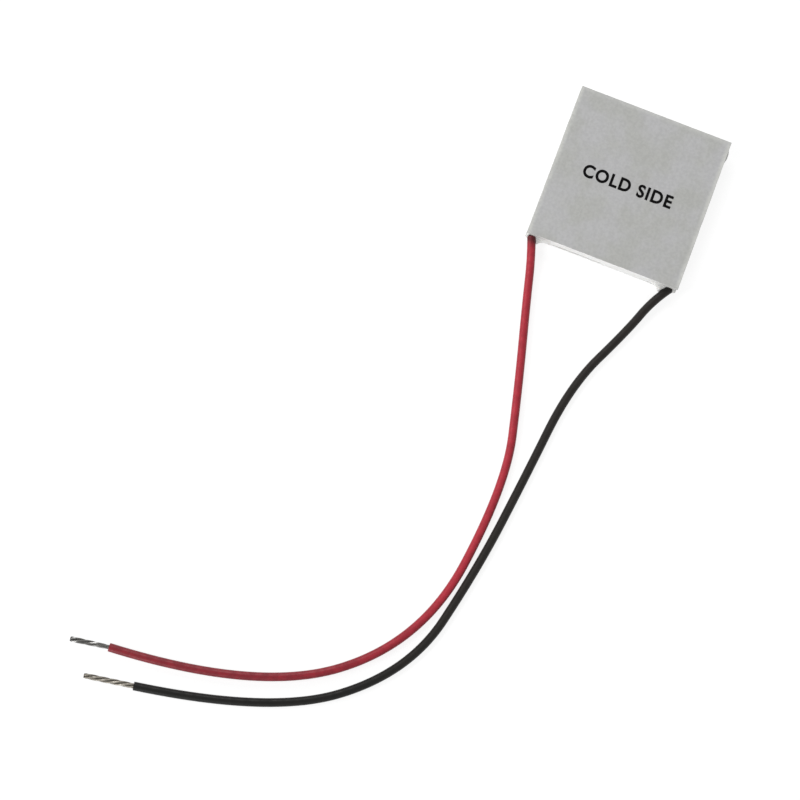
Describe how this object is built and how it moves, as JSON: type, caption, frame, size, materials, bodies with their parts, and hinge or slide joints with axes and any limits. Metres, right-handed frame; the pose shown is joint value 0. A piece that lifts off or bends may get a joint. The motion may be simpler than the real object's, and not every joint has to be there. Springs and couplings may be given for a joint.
{
  "type": "thermoelectric cooling module",
  "caption": "Flat square thermoelectric cooling module: ceramic plates over rows of semiconductor couples, white sealed edge, red and black stranded leads with bare tinned tails.",
  "frame": {"origin": "centre of the hot face, which is the underside of the hot plate", "axes": "+Z from the hot face to the cold face, the leads leave along -Y, with red at -X and black at +X"},
  "size_m": [0.0817, 0.1357, 0.0038],
  "materials": {
    "ceramic": "matte fired alumina, off-white grey",
    "sealant": "white silicone, satin",
    "red_insulation": "satin vinyl, red",
    "black_insulation": "satin vinyl, black",
    "tinned_strand": "tinned copper strands, dull silver",
    "solder": "bright tin solder",
    "copper": "bonded copper, slightly dulled",
    "p_telluride": "sawn bismuth telluride, p-type",
    "n_telluride": "sawn bismuth telluride, n-type"
  },
  "bodies": {
    "root": {"black_lead_conductor": "tinned_strand", "black_lead_insulation": "black_insulation", "black_lead_solder": "solder", "cold_bridges_column_01": "copper", "cold_bridges_column_02": "copper", "cold_bridges_column_03": "copper", "cold_bridges_column_04": "copper", "cold_bridges_column_05": "copper", "cold_bridges_column_06": "copper", "cold_bridges_column_07": "copper", "cold_bridges_column_08": "copper", "cold_bridges_column_09": "copper", "cold_bridges_column_10": "copper", "cold_bridges_column_11": "copper", "cold_bridges_column_12": "copper", "cold_plate": "ceramic", "edge_sealant": "sealant", "hot_bridges_column_01": "copper", "hot_bridges_column_02": "copper", "hot_bridges_column_03": "copper", "hot_bridges_column_04": "copper", "hot_bridges_column_05": "copper", "hot_bridges_column_06": "copper", "hot_bridges_column_07": "copper", "hot_bridges_column_08": "copper", "hot_bridges_column_09": "copper", "hot_bridges_column_10": "copper", "hot_bridges_column_11": "copper", "hot_bridges_column_12": "copper", "hot_plate": "ceramic", "n_pellets_column_01": "n_telluride", "n_pellets_column_02": "n_telluride", "n_pellets_column_03": "n_telluride", "n_pellets_column_04": "n_telluride", "n_pellets_column_05": "n_telluride", "n_pellets_column_06": "n_telluride", "n_pellets_column_07": "n_telluride", "n_pellets_column_08": "n_telluride", "n_pellets_column_09": "n_telluride", "n_pellets_column_10": "n_telluride", "n_pellets_column_11": "n_telluride", "n_pellets_column_12": "n_telluride", "negative_terminal": "copper", "p_pellets_column_01": "p_telluride", "p_pellets_column_02": "p_telluride", "p_pellets_column_03": "p_telluride", "p_pellets_column_04": "p_telluride", "p_pellets_column_05": "p_telluride", "p_pellets_column_06": "p_telluride", "p_pellets_column_07": "p_telluride", "p_pellets_column_08": "p_telluride", "p_pellets_column_09": "p_telluride", "p_pellets_column_10": "p_telluride", "p_pellets_column_11": "p_telluride", "p_pellets_column_12": "p_telluride", "positive_terminal": "copper", "red_lead_conductor": "tinned_strand", "red_lead_insulation": "red_insulation", "red_lead_solder": "solder"}
  },
  "joints": []
}
